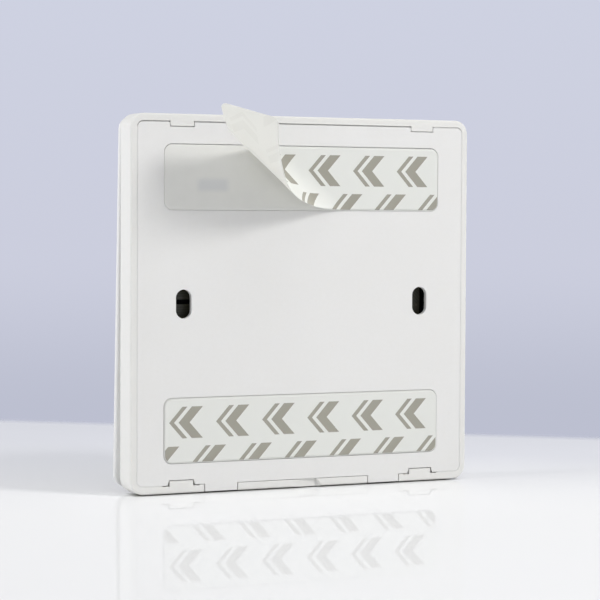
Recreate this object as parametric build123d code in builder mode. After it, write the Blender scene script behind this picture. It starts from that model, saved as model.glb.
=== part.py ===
"""A wireless wall switch: a clip-on housing with one tilted key, its circuit board, and its back plate
with two adhesive strips.

X points right as seen from the front, Y points into the wall and Z points up. The origin is the centre of
the wall face. A depth is measured from the wall face towards the front, so it runs along -Y. All sizes are
in millimetres.
"""

from build123d import *
import os
from math import asin, atan2, cos, degrees, radians, sin, tan

os.makedirs("parts", exist_ok=True)

# Housing
face = 86.0  # width and height
half = face / 2
body_depth = 6.6  # wall face to the front edge of the side wall
corner_r = 3.3
back_edge_r = 0.45
front_edge_bevel = 0.2
front_wall = 1.5  # side wall round the key's skirt
rim_side = 1.55  # rim beside the back plate
rim_top = 1.65
rim_bottom = 1.8
seat_wall = 2.7  # side wall where the back plate seats on it

# Back plate and its parting gap
plate_t = 1.6
plate_corner_r = 1.35
gap_side = 0.1
gap_top = 0.25
gap_bottom = 0.1
seat_gap = 0.08  # lets the plate's upper edge turn in as the plate swings out

# Snap tabs of the housing and the notches that they drop into
tab_x = 30.6
tab_w = 5.7
tab_t = 0.8
tab_top_reach = 1.15
tab_bottom_reach = 1.13
tab_gap = 0.15
tab_bevel = 0.3
notch_flare = 0.4  # by which each side of a lower notch widens towards the edge
relief_w = 9.0  # shallow cut in the rim at the root of each lower tab
relief_h = 0.15

# Tongues of the plate that reach the lower edge, for a fingernail
tongue_x = 20.8
tongue_w = 8.0
tongue_gap = 0.2
foot_gap = 0.14  # keeps the tongues off the surface that the switch stands on

# Pry scoop in the lower rim: a ramp that ends in a slanted wall
pry_start = 3.6
pry_end = -3.3
pry_depth = 0.75
pry_slant = 1.75

# Adhesive strips in their recesses
recess_w = 70.0
recess_h = 15.0
recess_r = 2.0
recess_depth = 0.6
recess_z = 28.75
strip_gap = 0.1
strip_t = 0.7
liner_gap = 0.3
liner_t = 0.1

# Upper liner: it leaves the strip along a slanted line and curls off as a cone. The lengths and radii of
# its bends are those at the lower end of that line.
peel_x = -12.5  # where that line meets the liner's lower edge
peel_angle = radians(36.15)  # of the line above the liner's long edge
apex_distance = 85.7  # from there up the line to the apex of the cone
bend_1_length = 7.5
bend_1_r = 8.9
bend_2_length = 13.6
bend_2_r = 18.2
tail_r = 37.6
bend_steps = 4
tip_cut = 0.9  # rounds off the last corner

# Screw slots for a wall box
slot_spacing = 60.3
slot_w = 3.8
slot_length = 6.6
slot_web = 1.1  # the plate is this thin round each slot
slot_web_margin = 1.2

# Deck inside the housing: a low perimeter floor and a raised box for the board
floor_back = 2.6
floor_front = 3.6
box_margin = 8.6  # from the housing's outer edge
box_half = half - box_margin
box_wall = 1.2
box_front = 6.8
box_skin = 0.9
box_r = 2.0

# Circuit board
board_side_gap = 1.3
board_end_gap = 3.0
board_w = 2 * (box_half - box_wall - board_side_gap)
board_h = 2 * (box_half - box_wall - board_end_gap)
board_back = 3.2
board_t = 1.0
board_front = board_back + board_t
board_r = 2.0
board_notch_w = 1.1
board_notch_length = 5.4
board_notch_z = 0.36
screw_inset = 3.8
screw_x = board_w / 2 - screw_inset
screw_z = board_h / 2 - screw_inset
screw_r = 0.8
screw_clearance = 0.3
screw_head_r = 1.8
screw_head_t = 1.1
screw_length = 3.0
screw_sides = 12  # facets of its shank and holes
screw_cross_w = 0.5
screw_cross_depth = 0.5
boss_r = 2.3

# Cushions between the board's side edges and the deck
cushion_w = 6.2
cushion_h = 16.0
cushion_lip_t = 0.3
cushion_lip_back = 2.8
cushion_outer = box_half - box_wall
cushion_inner = cushion_outer - cushion_w

# Coin cell and its contacts
cell_z = -9.0
cell_r = 10.0
cell_t = 3.2
cell_back = 2.1
cell_front = cell_back + cell_t
cell_gap = 0.3
board_cell_gap = 0.4
can_skin = 0.25
can_bevel = 0.3
can_step = 0.3  # the can ends this far short of the cap
gasket_t = 0.35
cup_wall = 0.9
cup_back = board_front + 0.3
contact_t = 0.25
clip_w = 7.0
clip_foot = 3.0
clip_gap = 1.4
spring_w = 5.0
spring_foot = 3.0
spring_gap = 1.4
cup_notch_w = 6.6
cup_notch_h = 3.6

# Key switch on the front of the board
switch_z = 20.0
switch_size = 6.0
switch_base_t = 1.9
switch_pocket_r = 2.4
switch_pocket_floor = 0.5
cover_t = 0.25
cover_leg_w = 3.0
cover_leg_length = 1.2
plunger_r = 1.7
plunger_bore_gap = 0.1
plunger_flange_r = 2.2
plunger_flange_t = 0.55
plunger_front = 7.3
plunger_travel = 0.25
dome_r = 2.2
dome_top_r = 1.2
dome_height = 0.42
dome_t = 0.08
slide_gap = 0.05
switch_window = 7.4
switch_window_r = 0.6

# Front key
tilt = radians(2.4)
key_end_gap = 0.55
key_w = face
key_h = face - 2 * key_end_gap
key_t = 1.5
key_corner_r = 3.1
key_edge_r = 0.5
key_top_depth = 8.2  # its front face at the height of the housing's upper edge
key_mid_z = 0.15
skirt_gap = 0.3
skirt_gap_ends = 0.5
skirt_t = 1.0
skirt_back = 5.9
skirt_reach = 7.0
rib_x = 14.0
rib_t = 0.9
rib_h = 0.8
rib_top_z = 8.0
rib_bottom_z = -38.0
rib_rows = (-6.0, -33.0)
actuator_r = 2.0
actuator_gap = 0.05

# Key hinge: a barrel on each lug of the key turns in two open clips of the housing
hinge_z = 38.0
hinge_depth = 5.1
hinge_x = 27.0
barrel_r = 1.0
barrel_gap = 0.05
lug_w = 3.0
lug_h = 2.2
cheek_t = 1.2
cheek_h = 3.6
cheek_gap = 0.15
cheek_front = 6.45
clip_mouth = 1.7

# Hooks that keep the key from tilting further out
hook_x = 22.0
hook_w = 6.0
hook_t = 1.2
hook_gap = 0.3
hook_catch_gap = 0.05
hook_head_t = 0.8
ledge_w = 8.0
ledge_h = 0.9
ledge_t = 0.8

# Soft pads that stop the key
pad_x = 19.0
pad_inset = 6.4  # from the lower edge of the raised box
pad_z = pad_inset - box_half
pad_r = 2.5
pad_front = 8.65
pad_bevel = 0.5
pad_stem_r = 1.2
pad_flange_r = 1.9
pad_flange_t = 0.6

# Lamp and light pipe
lamp_z = 28.0
lamp_w = 1.6
lamp_h = 0.8
lamp_t = 0.6
lamp_window_r = 1.5
pipe_r = 0.8
pipe_back = 7.15

# Chips on the back of the board
radio_x = -14.0
radio_z = 17.0
radio_size = 6.0
radio_t = 0.9
crystal_x = -21.0
crystal_z = 12.0
crystal_w = 3.2
crystal_h = 2.5
crystal_t = 0.7
crystal_r = 0.4
antenna_x = 12.0
antenna_z = 27.5
antenna_w = 7.0
antenna_h = 2.0
antenna_t = 1.0
chip_w = 1.6
chip_h = 0.8
chip_t = 0.5
chip_spacing = 2.6

# Stiffening rib on the inner side of the back plate
plate_rib_margin = 6.0  # from the housing's outer edge
plate_rib_half = half - plate_rib_margin
plate_rib_t = 1.0
plate_rib_h = 0.6


def at_depth(depth):
    """The sketch plane at this depth: X to the right, Z up, and extruding goes towards the front."""
    return Plane.XZ.offset(depth)


def save(part, label):
    """Names a finished piece and writes its file."""
    part.label = label
    export_step(part, f"parts/{label}.step")


def key_depth(z):
    """Depth of the key's front face at this height."""
    return key_top_depth + (half - z) * tan(tilt)


# Places worked out from the sizes above
pocket_w = face - 2 * rim_side
pocket_top = half - rim_top
pocket_bottom = -half + rim_bottom
plate_w = pocket_w - 2 * gap_side
plate_top = pocket_top - gap_top
plate_bottom = pocket_bottom + gap_bottom
plate_mid_z = (plate_top + plate_bottom) / 2
plate_h = plate_top - plate_bottom
seat_depth = plate_t + seat_gap
box_back = box_front - box_skin
cup_r = cell_r + cell_gap
base_back = board_front
cover_back = base_back + switch_base_t
flange_front = cover_back - slide_gap
strip_w = recess_w - 2 * strip_gap
strip_h = recess_h - 2 * strip_gap
strip_r = recess_r - strip_gap
liner_w = recess_w - 2 * liner_gap
liner_h = recess_h - 2 * liner_gap
liner_r = recess_r - liner_gap
strip_face = recess_depth - strip_t
liner_face = strip_face - liner_t
ledge_back = box_front - ledge_t

# Housing
with BuildPart() as housing:
    with BuildSketch(at_depth(0)):
        RectangleRounded(face, face, corner_r)
    extrude(amount=body_depth)
    fillet(housing.faces().sort_by(Axis.Y)[-1].edges(), back_edge_r)
    chamfer(housing.faces().sort_by(Axis.Y)[0].edges(), front_edge_bevel)
    # Pocket of the back plate
    with BuildSketch(at_depth(0)):
        with Locations((0, (pocket_top + pocket_bottom) / 2)):
            RectangleRounded(pocket_w, pocket_top - pocket_bottom, plate_corner_r + gap_side)
    extrude(amount=seat_depth, mode=Mode.SUBTRACT)
    # Room behind the plate and, on the other side of the floor, round the key's skirt
    with BuildSketch(at_depth(0)):
        RectangleRounded(face - 2 * seat_wall, face - 2 * seat_wall, plate_corner_r)
    extrude(amount=floor_back, mode=Mode.SUBTRACT)
    with BuildSketch(at_depth(floor_front)):
        RectangleRounded(face - 2 * front_wall, face - 2 * front_wall, corner_r - front_wall)
    extrude(amount=body_depth - floor_front, mode=Mode.SUBTRACT)
    # Raised box for the board
    with BuildSketch(at_depth(floor_front)):
        RectangleRounded(2 * box_half, 2 * box_half, box_r)
    extrude(amount=box_front - floor_front)
    with BuildSketch(at_depth(floor_back)):
        RectangleRounded(2 * (box_half - box_wall), 2 * (box_half - box_wall), box_r - box_wall)
    extrude(amount=box_back - floor_back, mode=Mode.SUBTRACT)
    # Screw bosses
    with BuildSketch(at_depth(board_front)):
        with GridLocations(2 * screw_x, 2 * screw_z, 2, 2):
            Circle(boss_r)
    extrude(amount=box_back - board_front)
    with BuildSketch(at_depth(board_front)):
        with GridLocations(2 * screw_x, 2 * screw_z, 2, 2):
            RegularPolygon(screw_r, screw_sides)
    extrude(amount=screw_length - board_t, mode=Mode.SUBTRACT)
    # Cup round the coin cell, with a notch for the negative contact
    with BuildSketch(at_depth(cup_back)):
        with Locations((0, cell_z)):
            Circle(cup_r + cup_wall)
            Circle(cup_r, mode=Mode.SUBTRACT)
        with Locations((0, cell_z - cup_r)):
            Rectangle(cup_notch_w, cup_notch_h, mode=Mode.SUBTRACT)
    extrude(amount=box_back - cup_back)
    # Window of the key switch, light hole and the holes of the stop pads
    with BuildSketch(at_depth(box_back)):
        with Locations((0, switch_z)):
            RectangleRounded(switch_window, switch_window, switch_window_r)
        with Locations((0, lamp_z)):
            Circle(lamp_window_r)
        with Locations((-pad_x, pad_z), (pad_x, pad_z)):
            Circle(pad_stem_r)
    extrude(amount=box_skin, mode=Mode.SUBTRACT)
    # Ledges that the key's hooks catch behind
    with BuildSketch(at_depth(ledge_back)):
        with Locations((-hook_x, -box_half - ledge_h / 2), (hook_x, -box_half - ledge_h / 2)):
            Rectangle(ledge_w, ledge_h)
    extrude(amount=ledge_t)
    # Hinge clips: two cheeks each, bored, and open towards the front
    cheek_offset = (lug_w + cheek_t) / 2 + cheek_gap
    cheek_places = [
        (side * hinge_x + end * cheek_offset, hinge_z) for side in (-1, 1) for end in (-1, 1)
    ]
    with BuildSketch(at_depth(floor_front)):
        with Locations(*cheek_places):
            Rectangle(cheek_t, cheek_h)
    extrude(amount=cheek_front - floor_front)
    for side in (-1, 1):
        clip_length = lug_w + 2 * cheek_gap + 2 * cheek_t
        with BuildSketch(Plane.YZ.offset(side * hinge_x)):
            with Locations((-hinge_depth, hinge_z)):
                Circle(barrel_r + barrel_gap)
            with Locations((-(hinge_depth + cheek_front) / 2, hinge_z)):
                Rectangle(cheek_front - hinge_depth, clip_mouth)
        extrude(amount=clip_length / 2, both=True, mode=Mode.SUBTRACT)
    # Snap tabs, the lower ones bevelled
    with BuildSketch(at_depth(0)):
        with Locations((-tab_x, pocket_top - tab_top_reach / 2), (tab_x, pocket_top - tab_top_reach / 2)):
            Rectangle(tab_w, tab_top_reach)
    extrude(amount=tab_t)
    for side in (-1, 1):
        with BuildSketch(at_depth(0)):
            with Locations((side * tab_x, pocket_bottom - relief_h / 2)):
                Rectangle(relief_w, relief_h)
        extrude(amount=tab_t, mode=Mode.SUBTRACT)
        with BuildSketch(at_depth(0)):
            with Locations((side * tab_x, pocket_bottom + (tab_bottom_reach - relief_h) / 2)):
                Rectangle(tab_w, tab_bottom_reach + relief_h)
        extrude(amount=tab_t)
    lower_tab_tips = (
        housing.faces()
        .filter_by(Axis.Z)
        .filter_by(lambda f: abs(f.center().Z - pocket_bottom - tab_bottom_reach) < 0.01)
    )
    chamfer(lower_tab_tips.edges().group_by(Axis.Y)[-1], tab_bevel)
    # Cut-outs of the lower rim for the plate's tongues, and the pry scoop
    with BuildSketch(at_depth(0)):
        with Locations((-tongue_x, -half), (tongue_x, -half)):
            Rectangle(tongue_w + 2 * tongue_gap, 2 * rim_bottom)
    extrude(amount=seat_depth, mode=Mode.SUBTRACT)
    for z, slant in ((-half, pry_slant), (pocket_bottom, 0)):
        with BuildSketch(Plane.XY.offset(z)):
            with BuildLine():
                Polyline((pry_start, 0), (pry_end, -pry_depth), (pry_end - slant, 0), close=True)
            make_face()
    loft(ruled=True, mode=Mode.SUBTRACT)
save(housing.part, "housing")

# Back plate
with BuildPart() as back_plate:
    with BuildSketch(at_depth(0)):
        with Locations((0, plate_mid_z)):
            RectangleRounded(plate_w, plate_h, plate_corner_r)
        tongue_bottom = -half + foot_gap
        with Locations(
            (-tongue_x, (plate_bottom + tongue_bottom) / 2), (tongue_x, (plate_bottom + tongue_bottom) / 2)
        ):
            Rectangle(tongue_w, plate_bottom - tongue_bottom)
    extrude(amount=plate_t)
    # Stiffening rib round the board
    with BuildSketch(at_depth(plate_t)):
        rib_inner = plate_rib_half - plate_rib_t
        Rectangle(2 * plate_rib_half, 2 * plate_rib_half)
        Rectangle(2 * rib_inner, 2 * rib_inner, mode=Mode.SUBTRACT)
    extrude(amount=plate_rib_h)
    # Recesses of the adhesive strips
    with BuildSketch(at_depth(0)):
        with Locations((0, recess_z), (0, -recess_z)):
            RectangleRounded(recess_w, recess_h, recess_r)
    extrude(amount=recess_depth, mode=Mode.SUBTRACT)
    # Upright screw slots
    with BuildSketch(at_depth(0)):
        with Locations((-slot_spacing / 2, 0), (slot_spacing / 2, 0)):
            SlotOverall(slot_length, slot_w, rotation=90)
    extrude(amount=plate_t, mode=Mode.SUBTRACT)
    with BuildSketch(at_depth(slot_web)):
        with Locations((-slot_spacing / 2, 0), (slot_spacing / 2, 0)):
            Rectangle(slot_w + 2 * slot_web_margin, slot_length + 2 * slot_web_margin)
    extrude(amount=plate_t - slot_web, mode=Mode.SUBTRACT)
    # Upper notches leave a lug behind each tab, lower notches go right through
    upper_notch_bottom = pocket_top - tab_top_reach - tab_gap
    with BuildSketch(at_depth(0)):
        with Locations((-tab_x, (upper_notch_bottom + half) / 2), (tab_x, (upper_notch_bottom + half) / 2)):
            Rectangle(tab_w + 2 * tab_gap, half - upper_notch_bottom)
    extrude(amount=tab_t + tab_gap, mode=Mode.SUBTRACT)
    lower_notch_top = pocket_bottom + tab_bottom_reach + tab_gap
    notch_half = tab_w / 2 + tab_gap
    for x in (-tab_x, tab_x):
        with BuildSketch(at_depth(0)):
            with BuildLine():
                Polyline(
                    (x - notch_half, lower_notch_top),
                    (x - notch_half - notch_flare, plate_bottom),
                    (x + notch_half + notch_flare, plate_bottom),
                    (x + notch_half, lower_notch_top),
                    close=True,
                )
            make_face()
        extrude(amount=plate_t, mode=Mode.SUBTRACT)
save(back_plate.part, "back_plate")

# Adhesive strips and the lower liner
for name, z in (("adhesive_upper", recess_z), ("adhesive_lower", -recess_z)):
    with BuildPart() as adhesive:
        with BuildSketch(at_depth(strip_face)):
            with Locations((0, z)):
                RectangleRounded(strip_w, strip_h, strip_r)
        extrude(amount=strip_t)
    save(adhesive.part, name)

with BuildPart() as liner_lower:
    with BuildSketch(at_depth(liner_face)):
        with Locations((0, -recess_z)):
            RectangleRounded(liner_w, liner_h, liner_r)
    extrude(amount=liner_t)
save(liner_lower.part, "liner_lower")

# Upper liner. The straight lines across the flat liner that pass through the apex stay straight, and their
# points keep their distance from it, so the paper bends without stretching.
liner_end = liner_w / 2
liner_low = recess_z - liner_h / 2
liner_high = recess_z + liner_h / 2
along_line = Vector(cos(peel_angle), 0, sin(peel_angle))
off_line = Vector(sin(peel_angle), 0, -cos(peel_angle))
apex = Vector(peel_x, -(liner_face + liner_t / 2), liner_low) + along_line * apex_distance
bend_1_swing = bend_1_length / apex_distance
bend_2_swing = bend_2_length / apex_distance
corner_swing = atan2(apex.Z - liner_high, apex.X - liner_end) - peel_angle
tip_swing = atan2(apex.Z - liner_low, apex.X - liner_end) - peel_angle
last_swing = tip_swing - tip_cut / apex_distance


def curl_frame(swing):
    """Directions along and across the paper where its flat ruling has swung by this angle."""
    ruling, forward, normal = -along_line, off_line, Vector(0, 1, 0)
    for swing_end, radius in ((bend_1_swing, bend_1_r), (bend_2_swing, bend_2_r), (tip_swing, tail_r)):
        part = min(swing, swing_end)
        spin = -ruling * (apex_distance / radius) - normal
        axis = Axis((0, 0, 0), spin)
        turn = degrees(part * spin.length)
        ruling, forward, normal = (v.rotate(axis, turn) for v in (ruling, forward, normal))
        swing -= part
    return ruling, forward


def ruling_section(swing):
    """The line across the liner at this swing: its plane, with X along it, and its length."""
    slope = peel_angle + swing
    low = (apex.Z - liner_low) / sin(slope)
    high = max((apex.Z - liner_high) / sin(slope), (apex.X - liner_end) / cos(slope))
    ruling, forward = curl_frame(swing)
    return Plane(origin=apex + ruling * ((low + high) / 2), x_dir=ruling, z_dir=forward), low - high


swings = [bend_1_swing * i / bend_steps for i in range(bend_steps)]
swings += [bend_1_swing + bend_2_swing * i / bend_steps for i in range(bend_steps)]
for start, end in ((bend_1_swing + bend_2_swing, corner_swing), (corner_swing, last_swing)):
    swings += [start + (end - start) * i / bend_steps for i in range(bend_steps)]
swings.append(last_swing)

with BuildPart() as liner_upper:
    with BuildSketch(at_depth(liner_face)):
        with BuildLine():
            Polyline(
                (-liner_end, liner_low),
                (peel_x, liner_low),
                (peel_x + liner_h / tan(peel_angle), liner_high),
                (-liner_end, liner_high),
                close=True,
            )
        flat_part = make_face()
        fillet(flat_part.vertices().group_by(Axis.X)[0], liner_r)
    extrude(amount=liner_t)
    for swing in swings:
        plane, length = ruling_section(swing)
        with BuildSketch(plane):
            Rectangle(length, liner_t)
    loft(ruled=True)
save(liner_upper.part, "liner_upper")

# Circuit board
with BuildPart() as board:
    with BuildSketch(at_depth(board_back)):
        RectangleRounded(board_w, board_h, board_r)
        with Locations((0, cell_z)):
            Circle(cell_r + board_cell_gap, mode=Mode.SUBTRACT)
        with GridLocations(2 * screw_x, 2 * screw_z, 2, 2):
            RegularPolygon(screw_r + screw_clearance, screw_sides, mode=Mode.SUBTRACT)
        with Locations((board_w / 2 - board_notch_length / 2, board_notch_z)):
            Rectangle(board_notch_length, board_notch_w, mode=Mode.SUBTRACT)
    extrude(amount=board_t)
save(board.part, "circuit_board")

# Black foam cushions under the two side edges of the board, each with a lip up the wall of the box
for name, side in (("board_cushion_left", -1), ("board_cushion_right", 1)):
    with BuildPart() as cushion:
        with BuildSketch(Plane.XY.offset(board_notch_z - cushion_h / 2)):
            with BuildLine():
                Polyline(
                    (side * cushion_inner, -board_front),
                    (side * (cushion_outer - cushion_lip_t), -board_front),
                    (side * (cushion_outer - cushion_lip_t), -cushion_lip_back),
                    (side * cushion_outer, -cushion_lip_back),
                    (side * cushion_outer, -box_back),
                    (side * cushion_inner, -box_back),
                    close=True,
                )
            make_face()
        extrude(amount=cushion_h)
    save(cushion.part, name)

# Four board screws with cross recesses
with BuildPart() as screws:
    with BuildSketch(at_depth(board_back - screw_head_t)):
        with GridLocations(2 * screw_x, 2 * screw_z, 2, 2):
            Circle(screw_head_r)
    extrude(amount=screw_head_t)
    with BuildSketch(at_depth(board_back)):
        with GridLocations(2 * screw_x, 2 * screw_z, 2, 2):
            RegularPolygon(screw_r, screw_sides)
    extrude(amount=screw_length)
    with BuildSketch(at_depth(board_back - screw_head_t)):
        with GridLocations(2 * screw_x, 2 * screw_z, 2, 2):
            Rectangle(screw_head_r, screw_cross_w)
            Rectangle(screw_cross_w, screw_head_r)
    extrude(amount=screw_cross_depth, mode=Mode.SUBTRACT)
save(screws.part, "board_screws")

# Coin cell: can, gasket and cap
can_front = cell_front - can_step
with BuildPart() as cell_can:
    with BuildSketch(at_depth(cell_back)):
        with Locations((0, cell_z)):
            Circle(cell_r)
    extrude(amount=can_front - cell_back)
    chamfer(cell_can.edges().group_by(Axis.Y)[-1], can_bevel)
    with BuildSketch(at_depth(cell_back + can_skin)):
        with Locations((0, cell_z)):
            Circle(cell_r - can_skin)
    extrude(amount=can_front - cell_back - can_skin, mode=Mode.SUBTRACT)
save(cell_can.part, "cell_can")

with BuildPart() as cell_gasket:
    with BuildSketch(at_depth(cell_back + can_skin)):
        with Locations((0, cell_z)):
            Circle(cell_r - can_skin)
            Circle(cell_r - can_skin - gasket_t, mode=Mode.SUBTRACT)
    extrude(amount=can_front - cell_back - can_skin)
save(cell_gasket.part, "cell_gasket")

with BuildPart() as cell_cap:
    with BuildSketch(at_depth(cell_back + can_skin)):
        with Locations((0, cell_z)):
            Circle(cell_r - can_skin - gasket_t)
    extrude(amount=cell_front - cell_back - can_skin)
    chamfer(cell_cap.edges().group_by(Axis.Y)[0], can_step)
save(cell_cap.part, "cell_cap")

# Positive contact: a strap over the back of the cell, with a foot on each side
clip_inner = cup_r + clip_gap
with BuildPart() as contact_positive:
    with BuildSketch(Plane.XY.offset(cell_z - clip_w / 2)):
        with BuildLine():
            Polyline(
                (-clip_inner - clip_foot, -board_back),
                (-clip_inner - clip_foot, -board_back + contact_t),
                (-clip_inner - contact_t, -board_back + contact_t),
                (-clip_inner - contact_t, -cell_back + contact_t),
                (clip_inner + contact_t, -cell_back + contact_t),
                (clip_inner + contact_t, -board_back + contact_t),
                (clip_inner + clip_foot, -board_back + contact_t),
                (clip_inner + clip_foot, -board_back),
                (clip_inner, -board_back),
                (clip_inner, -cell_back),
                (-clip_inner, -cell_back),
                (-clip_inner, -board_back),
                close=True,
            )
        make_face()
    extrude(amount=clip_w)
save(contact_positive.part, "contact_positive")

# Negative contact: a strip from the front of the board to the middle of the cap
spring_outer = cell_z - cup_r - spring_gap
with BuildPart() as contact_negative:
    with BuildSketch(Plane.YZ.offset(-spring_w / 2)):
        with BuildLine():
            Polyline(
                (-board_front, spring_outer - spring_foot),
                (-board_front, spring_outer),
                (-cell_front, spring_outer),
                (-cell_front, cell_z + spring_w / 2),
                (-cell_front - contact_t, cell_z + spring_w / 2),
                (-cell_front - contact_t, spring_outer - contact_t),
                (-board_front - contact_t, spring_outer - contact_t),
                (-board_front - contact_t, spring_outer - spring_foot),
                close=True,
            )
        make_face()
    extrude(amount=spring_w)
save(contact_negative.part, "contact_negative")

# Key switch: base, snap dome, cover and plunger
with BuildPart() as switch_base:
    with BuildSketch(at_depth(base_back)):
        with Locations((0, switch_z)):
            Rectangle(switch_size, switch_size)
    extrude(amount=switch_base_t)
    with BuildSketch(at_depth(base_back + switch_pocket_floor)):
        with Locations((0, switch_z)):
            Circle(switch_pocket_r)
    extrude(amount=switch_base_t - switch_pocket_floor, mode=Mode.SUBTRACT)
save(switch_base.part, "switch_base")

dome_back = base_back + switch_pocket_floor
dome_front = dome_back + dome_height
with BuildPart() as switch_dome:
    with BuildSketch(Plane.XY.offset(switch_z)):
        with BuildLine():
            Polyline(
                (0, -dome_front),
                (dome_top_r, -dome_front),
                (dome_r, -dome_back - dome_t),
                (dome_r, -dome_back),
                (dome_top_r, -dome_front + dome_t),
                (0, -dome_front + dome_t),
                close=True,
            )
        make_face()
    revolve(axis=Axis((0, 0, switch_z), (0, 1, 0)))
save(switch_dome.part, "switch_dome")

with BuildPart() as switch_cover:
    with BuildSketch(at_depth(cover_back)):
        with Locations((0, switch_z)):
            Rectangle(switch_size + 2 * cover_t, switch_size)
            Circle(plunger_r + plunger_bore_gap, mode=Mode.SUBTRACT)
    extrude(amount=cover_t)
    with BuildSketch(at_depth(cover_back - cover_leg_length)):
        leg_x = (switch_size + cover_t) / 2
        with Locations((-leg_x, switch_z), (leg_x, switch_z)):
            Rectangle(cover_t, cover_leg_w)
    extrude(amount=cover_leg_length)
save(switch_cover.part, "switch_cover")

with BuildPart() as switch_plunger:
    with BuildSketch(at_depth(flange_front - plunger_flange_t)):
        with Locations((0, switch_z)):
            Circle(plunger_flange_r)
    extrude(amount=plunger_flange_t)
    with BuildSketch(at_depth(flange_front)):
        with Locations((0, switch_z)):
            Circle(plunger_r)
    extrude(amount=plunger_front - flange_front)
save(switch_plunger.part, "switch_plunger")

# Chips and lamp
with BuildPart() as radio_chip:
    with BuildSketch(at_depth(board_back - radio_t)):
        with Locations((radio_x, radio_z)):
            Rectangle(radio_size, radio_size)
    extrude(amount=radio_t)
save(radio_chip.part, "radio_chip")

with BuildPart() as crystal:
    with BuildSketch(at_depth(board_back - crystal_t)):
        with Locations((crystal_x, crystal_z)):
            RectangleRounded(crystal_w, crystal_h, crystal_r)
    extrude(amount=crystal_t)
save(crystal.part, "crystal")

with BuildPart() as chip_antenna:
    with BuildSketch(at_depth(board_back - antenna_t)):
        with Locations((antenna_x, antenna_z)):
            Rectangle(antenna_w, antenna_h)
    extrude(amount=antenna_t)
save(chip_antenna.part, "chip_antenna")

with BuildPart() as chip_parts:
    with BuildSketch(at_depth(board_back - chip_t)):
        with Locations((radio_x, radio_z + radio_size)):
            with GridLocations(chip_spacing, chip_spacing, 4, 2):
                Rectangle(chip_w, chip_h)
        with Locations((antenna_x, antenna_z - 2 * chip_spacing)):
            with GridLocations(chip_spacing, chip_spacing, 2, 2):
                Rectangle(chip_w, chip_h)
    extrude(amount=chip_t)
save(chip_parts.part, "chip_parts")

with BuildPart() as status_lamp:
    with BuildSketch(at_depth(board_front)):
        with Locations((0, lamp_z)):
            Rectangle(lamp_w, lamp_h)
    extrude(amount=lamp_t)
save(status_lamp.part, "status_lamp")

# Stop pads: each stem goes through the deck and is held by its flange
for name, side in (("stop_pad_left", -1), ("stop_pad_right", 1)):
    with BuildPart() as stop_pad:
        with BuildSketch(at_depth(box_front)):
            with Locations((side * pad_x, pad_z)):
                Circle(pad_r)
        extrude(amount=pad_front - box_front)
        chamfer(stop_pad.edges().group_by(Axis.Y)[0], pad_bevel)
        with BuildSketch(at_depth(box_back)):
            with Locations((side * pad_x, pad_z)):
                Circle(pad_stem_r)
        extrude(amount=box_skin)
        with BuildSketch(at_depth(box_back - pad_flange_t)):
            with Locations((side * pad_x, pad_z)):
                Circle(pad_flange_r)
        extrude(amount=pad_flange_t)
    save(stop_pad.part, name)

# Front key. Its panel lies in a plane that leans out towards the lower edge.
key_front = Plane(
    origin=(0, -key_depth(key_mid_z), key_mid_z), x_dir=(1, 0, 0), z_dir=(0, -cos(tilt), sin(tilt))
)
with BuildPart() as key:
    with BuildSketch(key_front.offset(-key_t)):
        RectangleRounded(key_w, key_h, key_corner_r)
    extrude(amount=key_t)
    fillet(key.faces().sort_by(Axis.Y)[0].edges(), key_edge_r)
    # Skirt that runs inside the housing wall
    skirt_w = face - 2 * front_wall - 2 * skirt_gap
    skirt_h = face - 2 * front_wall - 2 * skirt_gap_ends
    with BuildSketch(key_front.offset(-key_t)):
        with Locations((0, -key_mid_z)):
            RectangleRounded(skirt_w, skirt_h, corner_r - front_wall - skirt_gap)
            Rectangle(skirt_w - 2 * skirt_t, skirt_h - 2 * skirt_t, mode=Mode.SUBTRACT)
    extrude(amount=-skirt_reach)
    # Ribs behind the panel
    with BuildSketch(key_front.offset(-key_t)):
        with Locations((-rib_x, (rib_top_z + rib_bottom_z) / 2), (rib_x, (rib_top_z + rib_bottom_z) / 2)):
            Rectangle(rib_t, rib_top_z - rib_bottom_z)
        for z in rib_rows:
            with Locations((0, z)):
                Rectangle(2 * rib_x, rib_t)
    extrude(amount=-rib_h)
    split(bisect_by=at_depth(skirt_back), keep=Keep.TOP)
    # Boss that presses the key switch
    with BuildSketch(at_depth(plunger_front + actuator_gap)):
        with Locations((0, switch_z)):
            Circle(actuator_r)
    extrude(amount=key_depth(switch_z) - key_t / 2 - plunger_front - actuator_gap)
    # Hinge lugs with their barrels
    with BuildSketch(at_depth(hinge_depth)):
        with Locations((-hinge_x, hinge_z), (hinge_x, hinge_z)):
            Rectangle(lug_w, lug_h)
    extrude(amount=key_depth(hinge_z) - key_t / 2 - hinge_depth)
    for side in (-1, 1):
        with BuildSketch(Plane.YZ.offset(side * hinge_x)):
            with Locations((-hinge_depth, hinge_z)):
                Circle(barrel_r)
        extrude(amount=lug_w / 2 + cheek_gap + cheek_t, both=True)
    # Hooks that catch behind the ledges of the raised box
    hook_top = -box_half - ledge_h - hook_gap
    hook_front = ledge_back - hook_catch_gap
    with BuildSketch(at_depth(hook_front - hook_head_t)):
        with Locations((-hook_x, hook_top - hook_t / 2), (hook_x, hook_top - hook_t / 2)):
            Rectangle(hook_w, hook_t)
    extrude(amount=key_depth(hook_top) - key_t / 2 - hook_front + hook_head_t)
    with BuildSketch(at_depth(hook_front - hook_head_t)):
        for side in (-1, 1):
            with Locations((side * hook_x, (hook_top - box_half - hook_gap) / 2)):
                Rectangle(hook_w, -box_half - hook_gap - hook_top)
    extrude(amount=hook_head_t)
    # Hole of the light pipe
    with BuildSketch(at_depth(pipe_back)):
        with Locations((0, lamp_z)):
            Circle(pipe_r)
    extrude(amount=key_depth(lamp_z), mode=Mode.SUBTRACT)
save(key.part, "key")

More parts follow.
